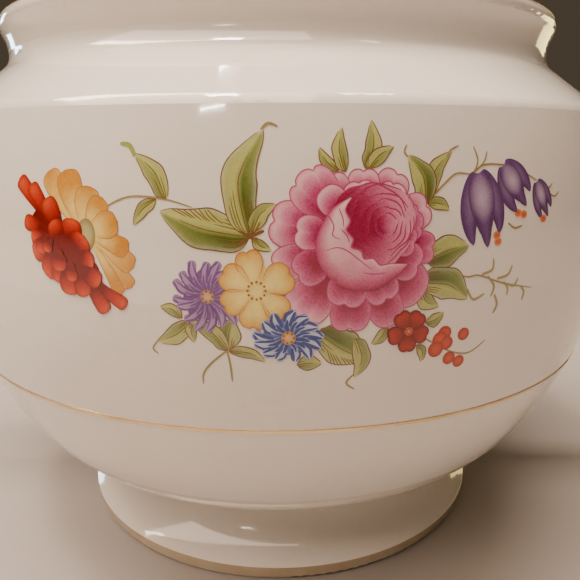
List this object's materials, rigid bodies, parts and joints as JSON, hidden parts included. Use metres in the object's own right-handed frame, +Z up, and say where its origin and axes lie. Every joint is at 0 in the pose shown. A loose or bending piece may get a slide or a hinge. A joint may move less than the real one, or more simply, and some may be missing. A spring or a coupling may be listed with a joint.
{
  "type": "sugar bowl",
  "caption": "Round footed porcelain sugar bowl with a collar neck, two ear handles, a lift-off domed lid with a knob, gilded lines and a printed flower spray.",
  "frame": {"origin": "centre of the foot ring's standing edge, on the surface the bowl stands on", "axes": "+Z up through the lid's knob, +X from one handle to the other, the main flower spray faces -Y"},
  "size_m": [0.1564, 0.111, 0.1117],
  "materials": {
    "porcelain": "gloss",
    "gilding": "gloss"
  },
  "bodies": {
    "bowl_body": {"bowl": "porcelain", "foot_ring": "porcelain", "handle_right": "porcelain", "handle_left": "porcelain", "rim_gold_line": "gilding", "belly_gold_line": "gilding", "foot_gold_band": "gilding", "handle_gold_right": "gilding", "handle_gold_left": "gilding"},
    "lid_body": {"lid": "porcelain", "lid_knob": "porcelain", "lid_gold_line": "gilding", "knob_gold_cap": "gilding"}
  },
  "joints": [
    {"name": "lid_lift", "type": "slide", "parent": "bowl_body", "child": "lid_body", "axis": [0, 0, 1], "range_m": [0, 0.06]}
  ]
}
